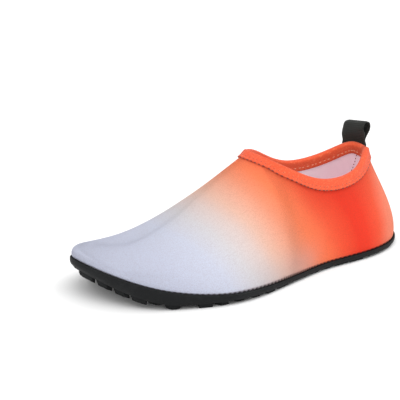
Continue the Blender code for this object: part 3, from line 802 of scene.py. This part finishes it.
def binding_section(upper):
    """The tape's closed section: how far out of the cloth and how deep below the rim each corner lies."""
    near, far, wall = upper.binding_gap, upper.binding_gap + upper.binding_wall, upper.wall
    width, soft = upper.binding_width, upper.binding_wall / 2
    legs = np.linspace(0, 1, 9)
    outer = [(near, width - soft * 0.4), (near + soft * 0.5, width), (far - soft * 0.3, width - soft * 0.3)]
    outer += [(far, (width - soft) * (1 - t)) for t in legs]
    turn = np.linspace(0, math.pi, 9)[1:-1]
    middle, reach = -wall / 2, wall / 2 + far
    over = [(middle + reach * math.cos(a), -far * 0.95 * math.sin(a)) for a in turn]
    inner = [(-wall - far, (width - soft) * t) for t in legs]
    inner += [(-wall - far + soft * 0.3, width - soft * 0.3), (-wall - near - soft * 0.5, width)]
    inner += [(-wall - near, width - soft * 0.4)]
    inside = [(-wall - near, width * 0.5), (-wall - near, 0.0), (near, 0.0), (near, width * 0.5)]
    return outer + over + inner + inside


def add_threads(name, last, threads, length, radius, shade):
    """One piece of short threads, each given by its place, the way it runs and the way out of the cloth."""
    bm = bmesh.new()
    for place, ahead, out in threads:
        ahead, out = Vector(ahead), Vector(out)
        turn = Matrix((ahead, out.cross(ahead).normalized(), out)).transposed().to_4x4()
        size = Matrix.Diagonal((length / 2, radius, radius * 0.8, 1.0))
        matrix = Matrix.Translation(Vector(place)) @ turn @ size
        bmesh.ops.create_icosphere(bm, subdivisions=2, radius=1.0, matrix=matrix)
    piece = add_piece(name, bm, last, thread_finish(name, tuple(shade)))


class SHOE_OT_binding(bpy.types.Operator):
    """Model the folded tape round the collar and its stitches"""

    bl_idname = "shoe.binding"
    bl_label = "Binding"

    def execute(self, context):
        _, upper, _, colours = settings(context)
        last = last_of(context)
        skin = Skin(last)
        count = BINDING_STEPS
        number = round_collar(count)
        depths = np.linspace(0, upper.binding_width, 8)
        places, normals, away = collar_legs(last, skin, number, depths)
        rim = places[:, 0]
        lengths = run_lengths(rim)
        around = lengths[-1] + np.linalg.norm(rim[0] - rim[-1])
        pitch = around / round(around / upper.stitch_pitch)
        pull = np.cos(lengths * math.tau / pitch)
        section = binding_section(upper)

        def corner(out, depth):
            if depth <= 0:
                return rim + normals[:, 0] * out - away * depth
            line, across = at_depth(places, depths, depth), unit(at_depth(normals, depths, depth))
            row = math.exp(-(((depth - upper.binding_width * 0.55) / 0.0009) ** 2))
            edge = math.exp(-(((depth - upper.binding_width) / 0.0008) ** 2))
            dent = (row * 0.00022 + edge * 0.00016) * (0.6 + 0.4 * pull)
            sign = 1 if out > 0 else -1
            outside = upper.wall / 2 + upper.binding_gap + upper.binding_wall * 0.5
            shown = abs(out + upper.wall / 2) > outside
            return line + across * (out - sign * dent * shown)[:, None]

        rows = [corner(out, depth) for out, depth in section]
        table = np.array(rows + rows[:1])

        def place(share_around, share_section):
            i = np.rint(share_around * count).astype(int) % count
            k = np.rint(share_section * len(section)).astype(int)
            return table[k, i]

        bm = grid(count, len(section), place, (around, upper.binding_width * 2.6))
        close(bm)
        piece = add_piece("binding_tape", bm, last, binding_finish(colours), "collar_binding")
        self.stitches(last, upper, colours, (places, normals, depths), lengths, around, pitch)
        self.heel_seam(last, skin, upper, colours, rim, away)
        return {"FINISHED"}

    def stitches(self, last, upper, colours, leg, lengths, around, pitch):
        places, normals, depths = leg
        out = upper.binding_gap + upper.binding_wall
        width, inside = upper.binding_width, -upper.wall - out + 0.0001
        rows = (
            ("stitches_edge", width * 0.98, out * 0.80, 0.60, 0.00042, colours.thread_dark),
            ("stitches_middle", width * 0.62, out - 0.00010, 0.45, 0.00024, colours.thread_middle),
            ("stitches_inside", width * 0.60, inside, 0.50, 0.00028, colours.thread_light),
        )
        for name, depth, offset, share, radius, shade in rows:
            line, across = at_depth(places, depths, depth), unit(at_depth(normals, depths, depth))
            line = line + across * offset
            threads = []
            for k in range(round(around / pitch)):
                i = int(np.searchsorted(lengths, (k + 0.5) * pitch)) % len(line)
                threads.append((line[i], unit(line[(i + 1) % len(line)] - line[i - 1]), across[i]))
            add_threads(name, last, threads, pitch * share, radius, shade)

    def heel_seam(self, last, skin, upper, colours, rim, away):
        """Threads of the loop's seam where they come through the lining, below the binding."""
        number = round_collar(len(rim))
        threads = []
        for at in HEEL_SEAMS:
            i = int(np.argmin(np.abs(number - at)))
            for k in range(HEEL_SEAM_STITCHES):
                depth = upper.binding_width + (k + 0.6) * upper.stitch_pitch
                place = skin.place(rim[i] - away[i] * depth)
                out = skin.normal(place)
                down = unit(np.cross(out, np.cross(out, away[i])))
                threads.append((place - out * (upper.wall + 0.0001), down, -out))
        add_threads("stitches_heel", last, threads, upper.stitch_pitch * 0.5, 0.00035, colours.thread_dark)


class SHOE_OT_pull_loop(bpy.types.Operator):
    """Model the ribbed webbing loop at the heel"""

    bl_idname = "shoe.pull_loop"
    bl_label = "Pull loop"

    def execute(self, context):
        _, upper, _, colours = settings(context)
        last = last_of(context)
        skin = Skin(last)
        centre = self.middle_surface(last, skin, upper)
        steps, across = LOOP_STEPS, LOOP_CELLS
        run_of = spline(centre.reshape(len(centre), -1), closed=False)
        path = run_of(np.linspace(0, len(centre) - 1, steps + 1)).reshape(steps + 1, -1, 3)
        run = run_lengths(path[:, path.shape[1] // 2])
        thick = unit(np.cross(np.gradient(path, axis=0), np.gradient(path, axis=1)))
        rib = upper.loop_wall / 2 * (0.80 + 0.20 * np.cos(run * math.tau / WEBBING_RIB))
        shares = np.linspace(0, path.shape[1] - 1, across + 1)
        low = np.clip(np.floor(shares).astype(int), 0, path.shape[1] - 2)
        part = (shares - low)[None, :, None]
        middle = path[:, low] * (1 - part) + path[:, low + 1] * part
        thick = unit(thick[:, low] * (1 - part) + thick[:, low + 1] * part)
        edge = np.ones(across + 1)
        edge[[0, -1]] = 0.35
        lift = thick * (rib[:, None] * edge[None])[..., None]
        ring = np.concatenate((middle + lift, (middle - lift)[:, ::-1]), axis=1)
        ring = np.concatenate((ring, ring[:, :1]), axis=1)
        cells = ring.shape[1] - 1

        def place(share_along, share_round):
            i, k = np.rint(share_along * steps).astype(int), np.rint(share_round * cells).astype(int)
            return ring[i, k]

        bm = grid(steps, cells, place, (run[-1], upper.loop_width * 2))
        bmesh.ops.remove_doubles(bm, verts=bm.verts, dist=2e-6)
        bmesh.ops.holes_fill(bm, edges=[e for e in bm.edges if e.is_boundary])
        bmesh.ops.recalc_face_normals(bm, faces=bm.faces)
        piece = add_piece("loop_webbing", bm, last, webbing_finish(colours), "pull_loop")
        return {"FINISHED"}

    def middle_surface(self, last, skin, upper):
        """Places down the middle of the webbing's thickness: one row for each point of its path."""
        points, away, normal = rim_frames(last, skin, round_collar(240))
        lengths = run_lengths(points)
        middle_at = lengths[np.argmin(points[:, 0])] + upper.loop_inward

        def at_rim(values, along):
            return np.array([np.interp(middle_at + along, lengths, values[:, axis]) for axis in range(3)])

        first = upper.binding_gap + upper.binding_wall + last.sizes.gap + upper.loop_wall / 2
        second = first + upper.loop_wall + last.sizes.gap
        middle, middle_out = at_rim(points, 0.0), at_rim(normal, 0.0)
        back = unit(middle_out * (1, 1, 0))
        side = np.array((back[1], -back[0], 0.0))
        columns = []
        for share in np.linspace(0.5, -0.5, 5):
            along = -share * upper.loop_width * upper.loop_pucker
            edge, out, up = at_rim(points, along), at_rim(normal, along), at_rim(away, along)
            places = [skin.place(edge - up * upper.loop_tab * k) for k in (1.0, 0.5)]
            normals = [skin.normal(place) for place in places]
            inner = [p + n * first for p, n in zip(places, normals)] + [edge + out * first]
            outer = [edge + out * second] + [p + n * second for p, n in zip(places[::-1], normals[::-1])]
            fronts, rears = [], []
            for row in named(LOOP_COLUMNS, LOOP_ROWS):
                rise = row["rise"]
                turn = np.array(Matrix.Rotation(upper.loop_turn * blend(0.0, 0.8, rise), 3, "Z"))
                straight = middle + (turn @ side + (0.0, 0.0, upper.loop_tilt)) * share * upper.loop_width
                base = edge + (straight - edge) * blend(0.0, 0.6, rise) + (0.0, 0.0, rise * upper.loop_rise)
                fronts.append(base + turn @ back * (first + row["front"] * upper.loop_eye))
                rears.append(base + turn @ back * (second + row["rear"] * upper.loop_eye))
            columns.append(inner + fronts + rears[::-1] + outer)
        return np.array(columns).transpose(1, 0, 2)


def ladder(last, ring, heights, along, across):
    """A plate between the two sides of the outline, at the height of a function."""

    def place(share_along, share_across):
        number = share_along * HEEL_BACK
        one, other = ring(number), ring(ROW_COUNT - number)
        t = share_across[:, None]
        points = one * (1 - t) + other * t
        points[:, 2] = heights(points[:, 0], points[:, 1])
        return points

    return grid(along, across, place, (last.sizes.length, last.sizes.ball_width))


class SHOE_OT_insole(bpy.types.Operator):
    """Model the thin foam insole"""

    bl_idname = "shoe.insole"
    bl_label = "Insole"

    def execute(self, context):
        sizes, upper, sole, colours = settings(context)
        last = last_of(context)
        inset = upper.wall + sole.insole_margin
        over = sizes.gap + sole.insole_thickness

        def ring(number):
            return last.foot_line(number) - last.outward(number) * inset

        bm = ladder(last, ring, lambda x, y: last.seat_height(x, y) + over, ROW_COUNT * 4, 20)
        close(bm)
        piece = add_piece("insole_sheet", bm, last, insole_finish(colours), "insole")
        if piece.data.polygons[0].normal.z < 0:
            piece.data.flip_normals()
        foam = piece.modifiers.new("foam", "SOLIDIFY")
        foam.thickness = sole.insole_thickness
        foam.offset = -1.0
        return {"FINISHED"}


def undercut_at(sizes, sole, x):
    """How far the sole's side slopes in to the underside, more so at the toe."""
    return sole.undercut + (sole.toe_undercut - sole.undercut) * blend(0.82, 1.0, x / sizes.length)


def is_bare(last, x, y, room):
    """True on the bend line, on the smooth shank and round the pads."""
    along, side = x / last.sizes.length, y / last.sizes.ball_width
    sides, fronts, backs = zip(*FLEX_ROWS)
    if np.interp(side, sides, backs) < along < np.interp(side, sides, fronts):
        return True
    ats, edges = zip(*SHANK_ROWS[::-1])
    if ats[0] < along < ats[-1] and side < np.interp(along, ats, edges):
        return True
    for pad in named(PAD_COLUMNS, PAD_ROWS):
        away = math.hypot(x - pad["at"] * last.sizes.length, y - pad["side"] * last.sizes.ball_width)
        if away < pad["radius"] * last.sizes.ball_width + room:
            return True
    return False


class SHOE_OT_outsole(bpy.types.Operator):
    """Model the rubber outsole with its lip, hexagonal lugs and round pads"""

    bl_idname = "shoe.outsole"
    bl_label = "Outsole"

    def execute(self, context):
        sizes, _, sole, colours = settings(context)
        last = last_of(context)
        bm = self.plate(last, sizes, sole)
        tread = self.tread(last, sizes, sole)
        join_into(bm, tread)
        tread.free()
        piece = add_piece("outsole_rubber", bm, last, rubber_finish(colours), "outsole")
        piece.data.set_sharp_from_angle(angle=math.radians(35))
        return {"FINISHED"}

    def profile(self, sizes, sole, tall, undercut):
        """How far out of the foot line and how far down each point of the side lies."""
        lip, reach = sole.lip_thickness, sizes.gap + sole.lip_thickness
        soft = lip * 0.28
        near = [(sizes.gap, sole.lip_depth + 0 * tall), (sizes.gap, 0.25 * lip + 0 * tall)]
        turn = [
            (sizes.gap + soft * (1 - math.cos(a)), soft * (1 - math.sin(a)) + 0 * tall)
            for a in (0.5, 1.0, 1.57)
        ]
        top = [
            (reach - soft * math.cos(a) * 1.2, soft * (1 - math.cos(a)) * 1.4 + 0 * tall)
            for a in (0.1, 0.8, 1.5)
        ]
        side = [(reach, 0.18 * tall), (reach, 0.38 * tall), (reach - undercut * 0.12, 0.6 * tall)]
        foot = [(reach - undercut * 0.40, 0.80 * tall), (reach - undercut * 0.68, 0.92 * tall)]
        return near + turn + top + side + foot + [(reach - undercut, tall)]

    def plate(self, last, sizes, sole):
        columns = ROW_COUNT * SOLE_STEPS
        number = np.arange(columns) / SOLE_STEPS
        foot, out = last.foot_line(number), last.outward(number)
        x, y = foot[:, 0], foot[:, 1]
        undercut = undercut_at(sizes, sole, x)
        rows = []
        for reach, drop in self.profile(sizes, sole, foot[:, 2] - last.floor_height(x, y), undercut):
            row = foot + out * np.broadcast_to(reach, x.shape)[:, None]
            row[:, 2] -= drop
            rows.append(row)
        rows[-1][:, 2] = last.floor_height(rows[-1][:, 0], rows[-1][:, 1])
        rows[0][:, 2] = last.seat_height(rows[0][:, 0], rows[0][:, 1])
        table = np.array(rows)

        def place(around, down):
            row = np.rint(down * (len(rows) - 1)).astype(int)
            return table[row, np.rint(around * columns).astype(int) % columns]

        bm = grid(columns, len(rows) - 1, place, (sizes.length * GIRTH, sizes.ball_side))
        for row, heights in ((rows[0], last.seat_height), (rows[-1], last.floor_height)):

            def ring(number, row=row):
                return row[np.rint(number * SOLE_STEPS).astype(int) % columns]

            cap = ladder(last, ring, heights, columns // 2, 24)
            join_into(bm, cap)
            cap.free()
        close(bm)
        return bm

    def tread(self, last, sizes, sole):
        """Hexagonal lugs in rows along the foot, with every second row set half a pitch further on."""
        number = np.arange(ROW_COUNT * 4) / 4
        foot, out = last.foot_line(number), last.outward(number)
        undercut = undercut_at(sizes, sole, foot[:, 0])
        inset = foot + out * (sizes.gap + sole.lip_thickness - undercut - sole.lug_margin)[:, None]
        border = (inset[:, :2], out[:, :2])
        bm = bmesh.new()
        row_step = sole.lug_pitch * math.sqrt(3) / 2
        rows = math.ceil(0.56 * sizes.ball_width / row_step)
        for row in range(-rows, rows + 1):
            for column in range(math.ceil(sizes.length / sole.lug_pitch) + 1):
                x, y = (column + 0.5 * (row % 2) + 0.35) * sole.lug_pitch, row * row_step
                near = np.argsort(np.hypot(*(border[0] - (x, y)).T))[:3]
                beyond = np.einsum("ij,ij->i", (x, y) - border[0][near], border[1][near])
                inside = np.all(beyond < sole.lug_across * 0.2)
                if inside and not is_bare(last, x, y, sole.lug_across * 0.5):
                    self.lug(bm, last, sole, (x, y), border)
        for pad in named(PAD_COLUMNS, PAD_ROWS):
            self.pad(bm, last, sole, pad)
        return bm

    def lug(self, bm, last, sole, at, border):
        """One hexagonal lug, cut along the sole's border where it reaches over it."""
        corner = sole.lug_across / math.sqrt(3)
        part = bmesh.new()
        place = Matrix.Translation((*at, 0)) @ Matrix.Rotation(math.pi / 2, 4, "Z")
        bmesh.ops.create_circle(part, cap_ends=True, segments=6, radius=corner, matrix=place)
        for point, normal in zip(*border):
            if math.dist(point, at) < corner * 1.2 + sole.lug_pitch * 0.3:
                everything = part.verts[:] + part.edges[:] + part.faces[:]
                bmesh.ops.bisect_plane(
                    part,
                    geom=everything,
                    dist=1e-7,
                    plane_co=(*point, 0),
                    plane_no=(*normal, 0),
                    clear_outer=True,
                )
        if sum(f.calc_area() for f in part.faces) > 0.45 * sole.lug_across**2 * math.sqrt(3) / 2:
            self.draw_down(bm, part, last, sole)
        part.free()

    def draw_down(self, bm, part, last, sole):
        """Draw flat faces down into a rounded lug that ends on the tread's under face, and add it."""
        bmesh.ops.dissolve_limit(part, angle_limit=0.03, verts=part.verts, edges=part.edges)
        flat = part.faces[:]
        made = bmesh.ops.extrude_face_region(part, geom=flat)["geom"]
        bottom = {v for v in made if isinstance(v, bmesh.types.BMVert)}
        for vertex in part.verts:
            x, y = vertex.co.x, vertex.co.y
            under, top = last.ground_height(x, y), last.floor_height(x, y) + sole.lug_bite
            vertex.co.z = under if vertex in bottom else top
        bmesh.ops.recalc_face_normals(part, faces=part.faces)
        low = [e for e in part.edges if e.verts[0] in bottom and e.verts[1] in bottom]
        edges = [e for e in low if len(e.link_faces) == 2 and e.calc_face_angle() > 0.5]
        bmesh.ops.bevel(
            part, geom=edges, offset=sole.lug_bevel, segments=2, profile=0.5, material=-1, affect="EDGES"
        )
        join_into(bm, part)

    def pad(self, bm, last, sole, pad):
        """A round pad: a raised ring with studs inside it."""
        x, y = pad["at"] * last.sizes.length, pad["side"] * last.sizes.ball_width
        radius = pad["radius"] * last.sizes.ball_width
        part = bmesh.new()
        bmesh.ops.create_circle(
            part, cap_ends=True, segments=48, radius=radius, matrix=Matrix.Translation((x, y, 0))
        )
        disc = part.faces[:]
        bmesh.ops.inset_region(
            part, faces=disc, thickness=sole.pad_ring, use_boundary=True, use_even_offset=True
        )
        bmesh.ops.delete(part, geom=disc, context="FACES_ONLY")
        self.draw_down(bm, part, last, sole)
        part.free()
        centres = [(x, y)]
        for k in range(pad["studs"]):
            angle = math.tau * k / pad["studs"]
            centres.append((x + radius * 0.48 * math.cos(angle), y + radius * 0.48 * math.sin(angle)))
        across = radius * 0.40 if pad["studs"] else SMALL_STUD
        for centre in centres:
            part = bmesh.new()
            matrix = Matrix.Translation((*centre, 0))
            bmesh.ops.create_circle(
                part, cap_ends=True, segments=6, radius=across / math.sqrt(3), matrix=matrix
            )
            self.draw_down(bm, part, last, sole)
            part.free()


# The camera: where the photo was taken from, about the middle of the last, and how it was framed.
CAMERA_AZIMUTH = math.radians(35.5)
CAMERA_ELEVATION = math.radians(20.92)
CAMERA_ROLL = math.radians(0.57)
CAMERA_DISTANCE = 2.565
CAMERA_SCALE = 1443.0
CAMERA_CENTRE = (241.8, 220.9)
CAMERA_HEIGHT = 0.035
IMAGE_SIZE = 400


class SHOE_OT_stage(bpy.types.Operator):
    """Set up the floor, the lights and the camera"""

    bl_idname = "shoe.stage"
    bl_label = "Stage"

    def execute(self, context):
        last = last_of(context)
        target = Vector((last.sizes.length / 2, 0.0, CAMERA_HEIGHT)) - Vector(last.centre)
        self.camera(context, target)
        self.floor()
        for name, place, size, power in LIGHT_ROWS:
            self.light(name, place, target, size, power)
        world = bpy.data.worlds.new("studio")
        world.use_nodes = True
        world.node_tree.nodes["Background"].inputs["Color"].default_value = (1.0, 1.0, 1.0, 1.0)
        world.node_tree.nodes["Background"].inputs["Strength"].default_value = WORLD_STRENGTH
        context.scene.world = world
        context.scene.view_settings.view_transform = "Standard"
        return {"FINISHED"}

    def camera(self, context, target):
        az, el, roll = CAMERA_AZIMUTH, CAMERA_ELEVATION, CAMERA_ROLL
        back = Vector((math.sin(az) * math.cos(el), math.cos(az) * math.cos(el), math.sin(el)))
        right = Vector((0, 0, 1)).cross(back).normalized()
        up = back.cross(right)
        cos, sin = math.cos(roll), math.sin(roll)
        right, up = right * cos + up * sin, up * cos - right * sin
        eye = target + back * CAMERA_DISTANCE
        off_x, off_y = (c - IMAGE_SIZE / 2 for c in CAMERA_CENTRE)
        aim = target - right * (off_x / CAMERA_SCALE) + up * (off_y / CAMERA_SCALE)
        back = (eye - aim).normalized()
        right = up.cross(back).normalized()
        up = back.cross(right)
        camera = bpy.data.cameras.new("camera")
        camera.sensor_width = 36.0
        camera.lens = CAMERA_SCALE * CAMERA_DISTANCE * camera.sensor_width / IMAGE_SIZE
        camera.clip_end = 20.0
        holder = bpy.data.objects.new("camera", camera)
        holder.matrix_world = Matrix.Translation(eye) @ Matrix((right, up, back)).transposed().to_4x4()
        context.collection.objects.link(holder)
        context.scene.camera = holder

    def floor(self):
        bm = bmesh.new()
        bmesh.ops.create_grid(bm, x_segments=1, y_segments=1, size=6.0)
        mesh = bpy.data.meshes.new("floor")
        bm.to_mesh(mesh)
        bm.free()
        finish = Finish("floor", Base_Color=(0.93, 0.93, 0.93, 1.0), Roughness=0.9, Specular_IOR_Level=0.1)
        mesh.materials.append(finish.material)
        floor = bpy.data.objects.new("floor", mesh)
        bpy.context.collection.objects.link(floor)

    def light(self, name, place, target, size, power):
        lamp = bpy.data.lights.new(name, "AREA")
        lamp.size = size
        lamp.energy = power
        holder = bpy.data.objects.new(name, lamp)
        direction = target - Vector(place)
        holder.rotation_euler = direction.to_track_quat("-Z", "Y").to_euler()
        holder.location = place
        bpy.context.collection.objects.link(holder)


PIECES = (SHOE_OT_upper, SHOE_OT_binding, SHOE_OT_pull_loop, SHOE_OT_insole, SHOE_OT_outsole, SHOE_OT_stage)


class SHOE_PT_panel(bpy.types.Panel):
    """Sizes, colours and pieces of the water shoe"""

    bl_idname = "SHOE_PT_panel"
    bl_label = "Water shoe"
    bl_space_type = "VIEW_3D"
    bl_region_type = "UI"
    bl_category = "Shoe"

    def draw(self, context):
        for group in settings(context):
            box = self.layout.box()
            for key in group.bl_rna.properties.keys():
                if key not in {"rna_type", "name"}:
                    box.prop(group, key)
        for piece in PIECES:
            self.layout.operator(piece.bl_idname)


GROUPS = (LastSizes, UpperSizes, SoleSizes, ShoeColours)
PROPERTIES = ("shoe_last", "shoe_upper", "shoe_sole", "shoe_colours")


def register():
    for kind in GROUPS + PIECES + (SHOE_PT_panel,):
        bpy.utils.register_class(kind)
    for name, group in zip(PROPERTIES, GROUPS):
        setattr(bpy.types.Scene, name, PointerProperty(type=group))


def unregister():
    for name in PROPERTIES:
        delattr(bpy.types.Scene, name)
    for kind in (SHOE_PT_panel,) + PIECES + GROUPS:
        bpy.utils.unregister_class(kind)


def main():
    register()
    for piece in PIECES:
        group, name = piece.bl_idname.split(".")
        getattr(getattr(bpy.ops, group), name)()


if __name__ == "__main__":
    main()
